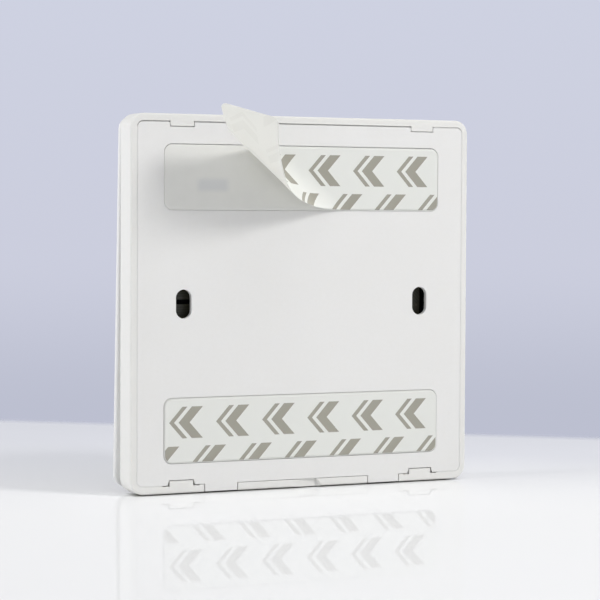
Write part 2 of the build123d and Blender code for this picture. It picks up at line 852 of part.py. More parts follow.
with BuildPart() as light_pipe:
    with BuildSketch(at_depth(pipe_back)):
        with Locations((0, lamp_z)):
            Circle(pipe_r)
    extrude(amount=key_depth(lamp_z) - pipe_back + key_t)
    split(bisect_by=key_front, keep=Keep.BOTTOM)
save(light_pipe.part, "light_pipe")

key_arm = hinge_z - switch_z
print("key travel in degrees", round(degrees(asin(plunger_travel / key_arm)), 4))
print("plunger metres per radian of the key", key_arm / 1000)
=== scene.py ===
from math import atan2, cos, pi, radians, sin, sqrt

import bmesh
import bpy
from mathutils import Matrix, Vector


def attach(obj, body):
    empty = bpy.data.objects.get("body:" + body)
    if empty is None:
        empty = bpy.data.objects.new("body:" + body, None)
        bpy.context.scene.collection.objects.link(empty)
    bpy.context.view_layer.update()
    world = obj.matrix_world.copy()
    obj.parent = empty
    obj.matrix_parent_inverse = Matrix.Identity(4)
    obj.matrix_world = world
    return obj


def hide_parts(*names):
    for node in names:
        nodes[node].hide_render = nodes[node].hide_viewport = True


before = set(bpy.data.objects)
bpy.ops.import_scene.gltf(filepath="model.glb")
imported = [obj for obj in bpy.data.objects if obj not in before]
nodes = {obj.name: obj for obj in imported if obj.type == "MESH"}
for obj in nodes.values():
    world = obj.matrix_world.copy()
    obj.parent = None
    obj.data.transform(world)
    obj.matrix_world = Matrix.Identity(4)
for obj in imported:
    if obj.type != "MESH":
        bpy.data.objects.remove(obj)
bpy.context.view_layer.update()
scene = bpy.context.scene
mm = 0.001

# Camera: it looks at the wall side of the switch from the left and a little above, turned 25 degrees
# round the object. Its place and lens are those of the photograph's view.
camera_place = Vector((211.02, 452.12, 20.42)) * mm
camera_lens, camera_film = 129.0, 36
camera_forward = Vector((-0.4207, -0.9063, -0.0398)).normalized()
camera_up = Vector((-0.0125, -0.0381, 0.9992))
camera_right = camera_forward.cross(camera_up).normalized()
camera_up = camera_right.cross(camera_forward)
turn = Matrix((camera_right, camera_up, -camera_forward)).transposed()
camera = bpy.data.objects.new("camera", bpy.data.cameras.new("camera"))
scene.collection.objects.link(camera)
scene.camera = camera
camera.matrix_world = Matrix.Translation(camera_place) @ turn.to_4x4()
camera.data.sensor_width = camera_film
camera.data.lens = camera_lens
camera.data.clip_start = 0.02
camera.data.clip_end = 20
scene.view_settings.view_transform = "Standard"


# Table: a gloss white board that mirrors the switch faintly, with painted shade on its back part and
# round the switch's foot. Its back edge runs behind the switch and fades, because it is out of focus in
# the photograph.
def new_material(name):
    """A node material, with its node tree and its shader."""
    material = bpy.data.materials.new(name)
    material.use_nodes = True
    tree = material.node_tree
    shader = tree.nodes["Principled BSDF"]
    return material, tree, shader


def node(tree, kind, settings=None, **inputs):
    """Adds a node. Inputs are values or sockets, by name with _ for a space, or i and a number."""
    made = tree.nodes.new("ShaderNode" + kind)
    for key, value in (settings or {}).items():
        setattr(made, key, value)
    for key, value in inputs.items():
        key = int(key[1:]) if key[0] == "i" and key[1:].isdigit() else key.replace("_", " ")
        if isinstance(value, bpy.types.NodeSocket):
            tree.links.new(value, made.inputs[key])
        else:
            made.inputs[key].default_value = value
    return made


def calc(tree, operation, a, b=0.0, c=0.0, clamp=False):
    """One Math node, by its result."""
    settings = {"operation": operation, "use_clamp": clamp}
    return node(tree, "Math", settings, i0=a, i1=b, i2=c).outputs[0]


def blend_colour(tree, share, a, b):
    """Colour a where share is 0 and colour b where it is 1."""
    return node(tree, "Mix", {"data_type": "RGBA"}, i0=share, i6=a, i7=b).outputs[2]


def remap(tree, value, low, high, to_low, to_high, smooth=False):
    """Maps low..high to to_low..to_high, and holds the ends."""
    settings = {"interpolation_type": "SMOOTHSTEP" if smooth else "LINEAR"}
    made = node(tree, "MapRange", settings, Value=value, From_Min=low, From_Max=high,
                To_Min=to_low, To_Max=to_high)
    return made.outputs[0]


table_z = -43.25 * mm  # the switch stands a hair above the mirroring face
table_edge = (Vector((0.019, -0.180, table_z)), Vector((-0.1236, -0.0639, table_z)))
table_along = (table_edge[1] - table_edge[0]).normalized()
table_near = Vector((table_along.y, -table_along.x, 0))
table_half_length, table_depth = 1.6, 2.4
fade_from, fade_to = -11 * mm, 5 * mm  # distances from the edge, towards the camera
painted_shade_until, painted_shade_gone = 40 * mm, 85 * mm
gloss_share = 0.57
corners = [table_edge[0] + table_along * along + table_near * near for along, near in (
    (-table_half_length, table_depth), (table_half_length, table_depth),
    (table_half_length, fade_from), (-table_half_length, fade_from))]
table_mesh = bpy.data.meshes.new("table")
table_mesh.from_pydata(corners, [], [(0, 1, 2, 3)])
table = bpy.data.objects.new("table", table_mesh)
scene.collection.objects.link(table)
gloss_board, tree, shader = new_material("table_gloss_board")
place = node(tree, "TexCoord").outputs["Object"]
cloud = node(tree, "TexNoise", Vector=place, Scale=9.0, Detail=2.0).outputs[0]
board_white = blend_colour(tree, cloud, (0.90, 0.905, 0.92, 1), (0.93, 0.935, 0.945, 1))
from_edge = node(tree, "VectorMath", {"operation": "SUBTRACT"}, i0=place, i1=table_edge[0])
off_edge = node(tree, "VectorMath", {"operation": "DOT_PRODUCT"}, i0=from_edge.outputs[0],
                i1=table_near).outputs["Value"]
# Painted shade of the switch: the board is painted darker near its back edge, fading out further forward.
painted_back_shade = remap(tree, off_edge, painted_shade_until, painted_shade_gone, 1, 0, smooth=True)
board_white = blend_colour(tree, painted_back_shade, board_white, (0.835, 0.84, 0.87, 1))
# Painted contact shade: where the switch stands close over the board, its colour is painted dark and its
# faint glow dimmed.
clear_of_contact_shade = node(tree, "AmbientOcclusion", {"samples": 6}, Distance=1.0 * mm).outputs["AO"]
clear_of_contact_shade = remap(tree, clear_of_contact_shade, 0.2, 0.9, 0, 1)
board_white = blend_colour(tree, clear_of_contact_shade, (0.46, 0.46, 0.43, 1), board_white)
tree.links.new(board_white, shader.inputs["Base Color"])
shader.inputs["Roughness"].default_value = 0.02
shader.inputs["IOR"].default_value = 1.46
tree.links.new(blend_colour(tree, clear_of_contact_shade, (0, 0, 0, 1), (1.0, 0.99, 0.985, 1)),
               shader.inputs["Emission Color"])
shader.inputs["Emission Strength"].default_value = 0.03
matt_part = node(tree, "BsdfDiffuse", Color=board_white)
board_face = node(tree, "MixShader", i0=gloss_share, i1=matt_part.outputs[0], i2=shader.outputs[0])
solid = remap(tree, off_edge, fade_from, fade_to, 0, 1, smooth=True)
see_through = node(tree, "BsdfTransparent")
board_face = node(tree, "MixShader", i0=solid, i1=see_through.outputs[0], i2=board_face.outputs[0])
tree.links.new(board_face.outputs[0], tree.nodes["Material Output"].inputs["Surface"])
table_mesh.materials.append(gloss_board)

# Surroundings: a lavender grey wall out of focus, darker towards the table and paler high up, seen by
# the camera and in reflections only. Everything else gets the plain light of a white room.
world = bpy.data.worlds.new("room")
scene.world = world
world.use_nodes = True
tree = world.node_tree
tree.nodes.clear()
height = node(tree, "SeparateXYZ", i0=node(tree, "TexCoord").outputs["Generated"]).outputs["Z"]
wall_low = (0.505, 0.525, 0.632, 1)
wall_mid = (0.600, 0.617, 0.728, 1)
wall_high = (0.618, 0.642, 0.756, 1)
ceiling = (0.80, 0.80, 0.82, 1)
# Each pair is a lower and an upper height on a sphere of radius 1 round the switch.
low_to_mid, mid_to_high, high_to_ceiling = (-0.095, -0.015), (-0.01, 0.10), (0.108, 0.138)
wall = blend_colour(tree, remap(tree, height, *low_to_mid, 0, 1, smooth=True), wall_low, wall_mid)
wall = blend_colour(tree, remap(tree, height, *mid_to_high, 0, 1), wall, wall_high)
wall = blend_colour(tree, remap(tree, height, *high_to_ceiling, 0, 1, smooth=True), wall, ceiling)
seen = node(tree, "LightPath")
seen_wall = calc(tree, "MAXIMUM", seen.outputs["Is Camera Ray"], seen.outputs["Is Glossy Ray"])
seen_wall = calc(tree, "MAXIMUM", seen_wall, seen.outputs["Is Transmission Ray"])
room_light = node(tree, "Background", Color=(0.97, 0.98, 1.0, 1), Strength=0.4)
room_seen = node(tree, "Background", Color=wall, Strength=1.0)
room = node(tree, "MixShader", i0=seen_wall, i1=room_light.outputs[0], i2=room_seen.outputs[0])
out = node(tree, "OutputWorld")
tree.links.new(room.outputs[0], out.inputs["Surface"])


# Lamps: a soft box with a grid at the upper right of the camera, so that shadows fall to the left and
# down, one above the table, one at the left for the side wall, and a weak one for the key.
def soft_box(name, place_mm, target_mm, size, power, colour=(1, 1, 1)):
    """A square area lamp: its place and target in mm, its size in metres and its power in watts."""
    data = bpy.data.lights.new(name, "AREA")
    data.shape = "SQUARE"
    data.size = size
    data.energy = power
    data.color = colour
    lamp = bpy.data.objects.new(name, data)
    lamp.location = Vector(place_mm) * mm
    aim = (Vector(target_mm) * mm - lamp.location).normalized()
    lamp.rotation_mode = "QUATERNION"
    lamp.rotation_quaternion = aim.to_track_quat("-Z", "Y")
    scene.collection.objects.link(lamp)
    return lamp


lamp_right = soft_box("lamp_right", place_mm=(-300, 364, 364), target_mm=(0, 0, 0), size=0.137,
                      power=0.733, colour=(1.0, 0.99, 0.97))
lamp_right.data.spread = radians(120)  # the grid keeps its light off the table below it
lamp_right.visible_glossy = False  # its mirror image in the table would dazzle from the front
soft_box("lamp_top", place_mm=(60, 380, 900), target_mm=(0, 60, -43), size=0.5, power=1.15)
soft_box("lamp_left", place_mm=(820, -60, 330), target_mm=(0, 0, 0), size=0.4, power=3.0)
lamp_front = soft_box("lamp_front", place_mm=(250, -700, 60), target_mm=(0, 0, 0), size=0.35, power=1.2)
lamp_front.visible_camera = lamp_front.visible_glossy = False


# Housing: one injection-moulded shell in warm white ABS with a fine spark-eroded skin. It carries
# the deck for the board, the snap tabs of the rim and the clips of the key's hinge.
def new_group(name, defaults, outputs):
    """An empty shader node group, with what goes into it and what comes out of it by name."""
    group = bpy.data.node_groups.new(name, "ShaderNodeTree")
    for socket, default in defaults.items():
        made = group.interface.new_socket(socket, in_out="INPUT", socket_type="NodeSocketFloat")
        made.default_value = default
    for socket in outputs:
        kind = "NodeSocketVector" if socket == "Normal" else "NodeSocketFloat"
        group.interface.new_socket(socket, in_out="OUTPUT", socket_type=kind)
    given = group.nodes.new("NodeGroupInput").outputs
    result = group.nodes.new("NodeGroupOutput").inputs
    return group, given, result


def moulded_skin_group():
    """Spark-eroded skin of a moulded face. Grain size is in mm, and noise scales are per metre."""
    group, given, result = new_group(
        "moulded_skin", {"Grain size": 0.22, "Grain depth": 0.35, "Roughness": 0.5, "Edge polish": 0.12},
        ("Tone", "Roughness", "Normal"))
    place = node(group, "TexCoord").outputs["Object"]
    grain_scale = calc(group, "DIVIDE", 1000.0, given["Grain size"])
    coarse_scale = calc(group, "DIVIDE", 240.0, given["Grain size"])
    grain = node(group, "TexNoise", Vector=place, Scale=grain_scale, Detail=3.0, Roughness=0.6)
    patch = node(group, "TexNoise", Vector=place, Scale=coarse_scale, Detail=2.0)
    flow = node(group, "TexNoise", Vector=place, Scale=55.0, Detail=1.0)
    fleck = node(group, "TexNoise", Vector=place, Scale=900.0, Detail=0.0)
    round_edge = node(group, "Bevel", {"samples": 4}, Radius=0.12 * mm)
    flat = node(group, "NewGeometry").outputs["Normal"]
    same = node(group, "VectorMath", {"operation": "DOT_PRODUCT"}, i0=round_edge.outputs[0], i1=flat)
    edge = remap(group, same.outputs["Value"], 1.0, 0.82, 0, 1)
    relief = calc(group, "MULTIPLY_ADD", patch.outputs[0], 0.5, grain.outputs[0])
    skin = node(group, "Bump", Strength=given["Grain depth"], Distance=0.02 * mm, Height=relief,
                Normal=round_edge.outputs[0])
    drift = calc(group, "MULTIPLY", flow.outputs[0], 0.5)
    tone = calc(group, "MULTIPLY_ADD", patch.outputs[0], 0.5, drift)
    speck = remap(group, fleck.outputs[0], 0.74, 0.78, 0, 0.35)
    group.links.new(calc(group, "SUBTRACT", tone, speck, clamp=True), result["Tone"])
    rough = calc(group, "MULTIPLY_ADD", grain.outputs[0], 0.10, given["Roughness"])
    polish = calc(group, "MULTIPLY", edge, given["Edge polish"])
    group.links.new(calc(group, "SUBTRACT", rough, polish), result["Roughness"])
    group.links.new(skin.outputs[0], result["Normal"])
    return group


moulded_skin = moulded_skin_group()


def moulded(name, light, dark, milky=0.0, **skin_values):
    """A moulded plastic: its skin wanders between light and dark, and milky lets light into it."""
    material, tree, shader = new_material(name)
    skin = node(tree, "Group", {"node_tree": moulded_skin}, **skin_values)
    colour = blend_colour(tree, remap(tree, skin.outputs["Tone"], 0.35, 0.65, 0, 1), dark, light)
    tree.links.new(colour, shader.inputs["Base Color"])
    tree.links.new(skin.outputs["Roughness"], shader.inputs["Roughness"])
    tree.links.new(skin.outputs["Normal"], shader.inputs["Normal"])
    if milky:
        shader.inputs["Subsurface Weight"].default_value = milky
        shader.inputs["Subsurface Radius"].default_value = (1.0, 0.9, 0.75)
        shader.inputs["Subsurface Scale"].default_value = 0.8 * mm
    return material


def finish(name, material):
    """Gives a CAD node its material."""
    nodes[name].data.materials.clear()
    nodes[name].data.materials.append(material)


housing_abs = moulded("housing_warm_white_abs", (0.815, 0.812, 0.79, 1), (0.80, 0.796, 0.772, 1),
                      milky=0.06, Grain_size=0.2, Grain_depth=0.3, Roughness=0.42)
finish("housing", housing_abs)

# Circuit board: glass-fibre laminate under near-black solder mask, cut round the coin cell. Bundles
# of copper tracks and filled vias stand under the mask, and the sawn edges show bare laminate.
board_mask, tree, shader = new_material("board_black_solder_mask")
place = node(tree, "TexCoord").outputs["Object"]
spot = node(tree, "SeparateXYZ", i0=place)
fields_per_metre = 170.0
field = node(tree, "TexVoronoi", {"distance": "CHEBYCHEV"}, Vector=place, Scale=fields_per_metre,
             Randomness=0.85)
choice = node(tree, "SeparateColor", i0=field.outputs["Color"]).outputs
headings = 4  # the tracks of a field run level, upright or along one of the two diagonals
eighths = calc(tree, "FLOOR", calc(tree, "MULTIPLY", choice["Red"], headings - 0.01))
heading = calc(tree, "MULTIPLY", eighths, pi / headings)
across = calc(tree, "ADD", calc(tree, "MULTIPLY", spot.outputs["X"], calc(tree, "COSINE", heading)),
              calc(tree, "MULTIPLY", spot.outputs["Z"], calc(tree, "SINE", heading)))
track_pitch, via_pitch, via_r = 0.62 * mm, 2.3 * mm, 0.27 * mm
track_w = track_pitch * 0.4
track = calc(tree, "LESS_THAN", calc(tree, "FLOORED_MODULO", across, track_pitch), track_w)
poured_from = 0.62  # fields that draw more than this are poured copper with vias
poured = calc(tree, "GREATER_THAN", choice["Green"], poured_from)
track_mask = calc(tree, "MAXIMUM", track, poured)
via_x, via_z = [calc(tree, "SUBTRACT", calc(tree, "FLOORED_MODULO", spot.outputs[axis], via_pitch),
                     via_pitch / 2) for axis in "XZ"]
off_via = node(tree, "VectorMath", {"operation": "LENGTH"},
               i0=node(tree, "CombineXYZ", X=via_x, Y=via_z).outputs[0]).outputs["Value"]
via = calc(tree, "MULTIPLY", remap(tree, off_via, via_r * 0.85, via_r, 1, 0), poured)
dust = node(tree, "TexNoise", Vector=place, Scale=2200.0, Detail=2.0).outputs[0]
mask_colour = blend_colour(tree, track_mask, (0.027, 0.027, 0.015, 1), (0.044, 0.043, 0.026, 1))
mask_colour = blend_colour(tree, via, mask_colour, (0.075, 0.070, 0.045, 1))
dust_share = calc(tree, "MULTIPLY", dust, 0.12)
mask_colour = blend_colour(tree, dust_share, mask_colour, (0.09, 0.09, 0.07, 1))
facing = node(tree, "SeparateXYZ", i0=node(tree, "NewGeometry").outputs["Normal"]).outputs["Y"]
sawn = remap(tree, calc(tree, "ABSOLUTE", facing), 0.6, 0.5, 0, 1)
weave = node(tree, "TexNoise", Vector=place, Scale=5200.0, Detail=1.0).outputs[0]
laminate = blend_colour(tree, weave, (0.10, 0.085, 0.035, 1), (0.17, 0.15, 0.07, 1))
tree.links.new(blend_colour(tree, sawn, mask_colour, laminate), shader.inputs["Base Color"])
tree.links.new(remap(tree, sawn, 0, 1, 0.36, 0.8), shader.inputs["Roughness"])
height = calc(tree, "MULTIPLY_ADD", dust, 0.1, calc(tree, "ADD", track_mask, via))
relief = node(tree, "Bump", Strength=0.5, Distance=0.04 * mm, Height=height)
tree.links.new(relief.outputs[0], shader.inputs["Normal"])
finish("circuit_board", board_mask)

# Board cushions: black foam rubber under the two side edges of the board. They keep it from rattling,
# and their near-black is painted shade: it is what shows dark through the notch and past the edge of the
# board.
cushion_shade_foam, tree, shader = new_material("cushion_foam_painted_shade")
place = node(tree, "TexCoord").outputs["Object"]
pores = node(tree, "TexVoronoi", Vector=place, Scale=3200.0).outputs["Distance"]
# Near black, as painted shade seen through the notch and past the board's edge.
tree.links.new(blend_colour(tree, pores, (0.003, 0.003, 0.003, 1), (0.009, 0.009, 0.009, 1)),
               shader.inputs["Base Color"])
shader.inputs["Roughness"].default_value = 0.95
shader.inputs["Specular IOR Level"].default_value = 0.1
relief = node(tree, "Bump", Strength=0.6, Distance=0.1 * mm, Height=pores)
tree.links.new(relief.outputs[0], shader.inputs["Normal"])
finish("board_cushion_left", cushion_shade_foam)
finish("board_cushion_right", cushion_shade_foam)


# Board screws: zinc-plated steel self-tapping screws with a cross recess, driven through the board
# into bosses of the deck.
def metal_grain_group():
    """Rolled and plated metal: long fine scratches, whose width is in mm, and cloudy plating."""
    group, given, result = new_group(
        "metal_grain", {"Line size": 0.06, "Stretch": 14.0, "Roughness": 0.25},
        ("Cloud", "Roughness", "Normal"))
    place = node(group, "TexCoord").outputs["Object"]
    line_scale = calc(group, "DIVIDE", 1000.0, given["Line size"])
    long_scale = calc(group, "DIVIDE", line_scale, given["Stretch"])
    stretch = node(group, "CombineXYZ", X=long_scale, Y=line_scale, Z=line_scale)
    drawn = node(group, "VectorMath", {"operation": "MULTIPLY"}, i0=place, i1=stretch.outputs[0])
    lines = node(group, "TexNoise", Vector=drawn.outputs[0], Scale=1.0, Detail=3.0).outputs[0]
    cloud = node(group, "TexNoise", Vector=place, Scale=260.0, Detail=2.0).outputs[0]
    round_edge = node(group, "Bevel", {"samples": 4}, Radius=0.08 * mm)
    skin = node(group, "Bump", Strength=0.25, Distance=0.01 * mm, Height=lines,
                Normal=round_edge.outputs[0])
    group.links.new(cloud, result["Cloud"])
    line_part, cloud_part = calc(group, "MULTIPLY", lines, 0.12), calc(group, "MULTIPLY", cloud, 0.06)
    wander = calc(group, "ADD", line_part, cloud_part)
    group.links.new(calc(group, "ADD", wander, given["Roughness"]), result["Roughness"])
    group.links.new(skin.outputs[0], result["Normal"])
    return group


metal_grain = metal_grain_group()


def plated(name, bright, dull, **grain_values):
    """A plated metal whose colour wanders between bright and dull."""
    material, tree, shader = new_material(name)
    grain = node(tree, "Group", {"node_tree": metal_grain}, **grain_values)
    share = remap(tree, grain.outputs["Cloud"], 0.35, 0.65, 0, 1)
    tree.links.new(blend_colour(tree, share, dull, bright), shader.inputs["Base Color"])
    tree.links.new(grain.outputs["Roughness"], shader.inputs["Roughness"])
    tree.links.new(grain.outputs["Normal"], shader.inputs["Normal"])
    shader.inputs["Metallic"].default_value = 1.0
    return material


zinc_screw = plated("board_screw_zinc", (0.62, 0.63, 0.66, 1), (0.48, 0.49, 0.50, 1), Roughness=0.22)
finish("board_screws", zinc_screw)

# Coin cell: a nickel-plated steel can and cap, crimped on a black polymer gasket. The can is the
# positive pole and faces the wall.
cell_nickel = plated("coin_cell_nickel", (0.69, 0.68, 0.66, 1), (0.64, 0.63, 0.61, 1), Line_size=0.05,
                     Stretch=24.0, Roughness=0.16)
finish("cell_can", cell_nickel)
finish("cell_cap", cell_nickel)
black_polymer = moulded("black_polymer", (0.022, 0.022, 0.023, 1), (0.016, 0.016, 0.016, 1),
                        Grain_size=0.12, Grain_depth=0.2, Roughness=0.45)
finish("cell_gasket", black_polymer)

# Battery contacts: strips of nickel-plated spring steel, stamped and soldered by their feet. One
# goes over the can, the other reaches the cap from the front of the board.
spring_nickel = plated("spring_contact_nickel", (0.72, 0.70, 0.66, 1), (0.67, 0.65, 0.61, 1),
                       Line_size=0.04, Stretch=30.0, Roughness=0.24)
finish("contact_positive", spring_nickel)
finish("contact_negative", spring_nickel)

# Key switch: a black base with a steel snap dome, a stamped steel cover that clips over it, and a
# dark plunger that rises through the cover.
finish("switch_base", black_polymer)
finish("switch_dome", spring_nickel)
finish("switch_cover", spring_nickel)
plunger_black = moulded("switch_plunger_polymer", (0.034, 0.033, 0.033, 1), (0.025, 0.025, 0.025, 1),
                        Grain_size=0.15, Grain_depth=0.25, Roughness=0.38)
finish("switch_plunger", plunger_black)

# Radio chip: a square package moulded in matt black epoxy resin, with its pads underneath. It is
# soldered flat to the board, and no marking is on it.
chip_resin = moulded("radio_chip_resin", (0.030, 0.030, 0.032, 1), (0.020, 0.020, 0.022, 1),
                     Grain_size=0.08, Grain_depth=0.4, Roughness=0.5)
finish("radio_chip", chip_resin)

# Crystal: a small ceramic tub that holds the quartz plate, closed with a welded metal lid. It is
# soldered beside the radio chip, whose clock it keeps.
crystal_lid = plated("crystal_lid_metal", (0.78, 0.76, 0.70, 1), (0.68, 0.66, 0.60, 1), Roughness=0.3)
finish("crystal", crystal_lid)


# Chip parts and chip antenna: fired ceramic bodies with tinned terminals at both ends. They are
# placed by machine and held by the solder under their terminals.
def ceramic(name, light, dark, row_x, pitch, body_half):
    """A fired ceramic whose ends, more than body_half from each chip's middle, are tinned metal."""
    material, tree, shader = new_material(name)
    place = node(tree, "TexCoord").outputs["Object"]
    x = node(tree, "SeparateXYZ", i0=place).outputs["X"]
    from_row = calc(tree, "SUBTRACT", x, (row_x - pitch / 2) * mm)
    in_chip = calc(tree, "FLOORED_MODULO", from_row, pitch * mm)
    off_middle = calc(tree, "ABSOLUTE", calc(tree, "SUBTRACT", in_chip, pitch / 2 * mm))
    solder_line = 0.03
    terminal = remap(tree, off_middle, body_half * mm, (body_half + solder_line) * mm, 0, 1)
    speckle = node(tree, "TexNoise", Vector=place, Scale=3800.0, Detail=2.0).outputs[0]
    body = blend_colour(tree, speckle, dark, light)
    tree.links.new(blend_colour(tree, terminal, body, (0.70, 0.70, 0.71, 1)), shader.inputs["Base Color"])
    tree.links.new(calc(tree, "MULTIPLY", terminal, 0.95), shader.inputs["Metallic"])
    tree.links.new(remap(tree, terminal, 0, 1, 0.42, 0.3), shader.inputs["Roughness"])
    relief = node(tree, "Bump", Strength=0.3, Distance=0.01 * mm, Height=speckle)
    tree.links.new(relief.outputs[0], shader.inputs["Normal"])
    return material


chip_pitch = 2.6
finish("chip_parts", ceramic("chip_part_ceramic", (0.40, 0.30, 0.20, 1), (0.32, 0.24, 0.16, 1),
                             row_x=-14.0 + chip_pitch / 2, pitch=chip_pitch, body_half=0.5))
finish("chip_antenna", ceramic("chip_antenna_ceramic", (0.70, 0.74, 0.70, 1), (0.62, 0.66, 0.63, 1),
                               row_x=12.0, pitch=40.0, body_half=2.9))

# Status lamp: a light-emitting diode cast in a clear resin block over a small lead frame. It is
# soldered to the board right behind the light pipe of the key.
lamp_resin, tree, shader = new_material("status_lamp_resin")
place = node(tree, "TexCoord").outputs["Object"]
frost = node(tree, "TexNoise", Vector=place, Scale=2600.0, Detail=1.0).outputs[0]
resin_colour = blend_colour(tree, frost, (0.80, 0.79, 0.70, 1), (0.88, 0.87, 0.78, 1))
tree.links.new(resin_colour, shader.inputs["Base Color"])
tree.links.new(remap(tree, frost, 0, 1, 0.18, 0.3), shader.inputs["Roughness"])
finish("status_lamp", lamp_resin)

# Stop pads: two soft grey silicone buttons that quieten the key at the end of its press. Each is
# pulled through a hole of the deck by its stem.
pad_silicone = moulded("stop_pad_silicone", (0.52, 0.52, 0.51, 1), (0.46, 0.46, 0.45, 1), Grain_size=0.3,
                       Grain_depth=0.2, Roughness=0.62, Edge_polish=0.0)
finish("stop_pad_left", pad_silicone)
finish("stop_pad_right", pad_silicone)

# Front key: one panel in satin white ABS, a little smoother than the housing. It leans out towards
# its lower edge, and its skirt runs inside the housing wall.
key_abs = moulded("key_satin_white_abs", (0.83, 0.83, 0.825, 1), (0.815, 0.814, 0.806, 1), milky=0.06,
                  Grain_size=0.16, Grain_depth=0.16, Roughness=0.34)
finish("key", key_abs)

# Light pipe: a clear acrylic pin, pressed into a hole of the key and flush with its front. It carries
# the light of the status lamp to the eye.
clear_pin, tree, shader = new_material("light_pipe_acrylic")
place = node(tree, "TexCoord").outputs["Object"]
haze = node(tree, "TexNoise", Vector=place, Scale=1800.0, Detail=1.0).outputs[0]
pin_colour = blend_colour(tree, haze, (0.86, 0.88, 0.90, 1), (0.93, 0.94, 0.95, 1))
tree.links.new(pin_colour, shader.inputs["Base Color"])
tree.links.new(remap(tree, haze, 0, 1, 0.05, 0.12), shader.inputs["Roughness"])
shader.inputs["Transmission Weight"].default_value = 0.75
shader.inputs["IOR"].default_value = 1.49
finish("light_pipe", clear_pin)

# Back plate: a flat moulding in the same plastic as the housing, let into its rim, with two shallow
# recesses for the adhesive strips and two screw slots.
plate_abs = moulded("back_plate_warm_white_abs", (0.82, 0.817, 0.808, 1), (0.807, 0.803, 0.79, 1),
                    milky=0.06, Grain_size=0.22, Grain_depth=0.4, Roughness=0.46)
finish("back_plate", plate_abs)

# Centring ribs: a fine bead moulded round the edge of the plate, in the plate's own plastic. It
# takes up the play between plate and rim, so the parting line is shallow at the sides and corners.
side_x, bead_top, bead_bottom, bead_low = 41.39, 41.21, -41.15, -1.1
corner_x, corner_top, corner_bottom = 39.98, 39.8, -39.74
past_inner_tab, past_outer_tab, past_lower_tab, bead_joint = 27.4, 33.7, 35.4, 14.0
wide, narrow = 0.24, 0.1
top_depths, side_depth = (0.46, 0.58, 0.58), 0.02
arc_steps = 8


def corner_arc(from_turn, middle_z, reach_x, reach_z):
    """A quarter of the bead round a corner of the plate, on the +X side."""
    turns = [from_turn + pi / 2 * i / arc_steps for i in range(arc_steps + 1)]
    return [(corner_x + reach_x * cos(t), middle_z + reach_z * sin(t)) for t in turns]


upper_arc = corner_arc(0, corner_top, side_x - corner_x, bead_top - corner_top)[::-1]
lower_arc = corner_arc(-pi / 2, corner_bottom, side_x - corner_x, corner_bottom - bead_bottom)[::-1]
top_line = [(x, bead_top) for x in (past_inner_tab, bead_joint, -past_inner_tab)]
beads = [(top_line, [wide] * 3, top_depths)]
for side, near_tab, at_corner in ((1, 0.45, 0.3), (-1, 0.2, 0.04)):
    line = [(past_outer_tab, bead_top)] + upper_arc + lower_arc + [(past_lower_tab, bead_bottom)]
    widths = [wide] + [wide + (narrow - wide) * i / arc_steps for i in range(arc_steps + 1)]
    widths += [narrow] * (len(line) - len(widths))
    depths = [near_tab] + [near_tab + (at_corner - near_tab) * i / arc_steps for i in range(arc_steps)]
    depths += [side_depth] * (len(line) - len(depths))
    beads.append(([(side * x, z) for x, z in line], widths, depths))
bead_mesh = bpy.data.meshes.new("plate_centring_ribs")
build = bmesh.new()
for line, widths, depths in beads:
    rings = []
    for i, spot in enumerate(line):
        before, after = Vector(line[max(i - 1, 0)]), Vector(line[min(i + 1, len(line) - 1)])
        run = (after - before).normalized()
        off = Vector((-run.y, run.x)) * widths[i] / 2
        spot = Vector(spot)
        ring = []
        for edge, y in ((spot - off, -depths[i]), (spot + off, -depths[i]), (spot + off, bead_low),
                        (spot - off, bead_low)):
            ring.append(build.verts.new(Vector((edge.x, y, edge.y)) * mm))
        rings.append(ring)
    for a, b in zip(rings, rings[1:]):
        for k in range(4):
            build.faces.new((a[k], a[(k + 1) % 4], b[(k + 1) % 4], b[k]))
    build.faces.new(rings[0])
    build.faces.new(rings[-1][::-1])
bmesh.ops.recalc_face_normals(build, faces=build.faces)
build.to_mesh(bead_mesh)
build.free()
bead = bpy.data.objects.new("plate_centring_ribs", bead_mesh)
scene.collection.objects.link(bead)
bead_mesh.materials.append(plate_abs)
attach(bead, "plate")

# Adhesive strips: clear-tacked foam tape, die-cut to the recess with rounded corners and pressed in.
# The foam stands a hair proud of the plate.
strip_w, strip_h, strip_r = 69.8, 14.8, 1.9
strip_face, strip_t = 0.1, 0.7
recess_z = 28.75
corner_steps = 6


def strip_columns(width, corner, steps):
    """Places along the strip, closer together in its rounded corners."""
    half = width / 2
    ends = [corner * (1 - cos(pi / 2 * i / corner_steps)) for i in range(corner_steps + 1)]
    middle = [-half + corner + (width - 2 * corner) * i / steps for i in range(1, steps)]
    return [-half + e for e in ends] + middle + [half - e for e in reversed(ends)]


def strip_reach(x, width, height, corner):
    """Half the strip's height at the place x, less inside its rounded corners."""
    into = corner - (width / 2 - abs(x))
    if into <= 0:
        return height / 2
    return height / 2 - corner + sqrt(max(corner * corner - into * into, 0.0))


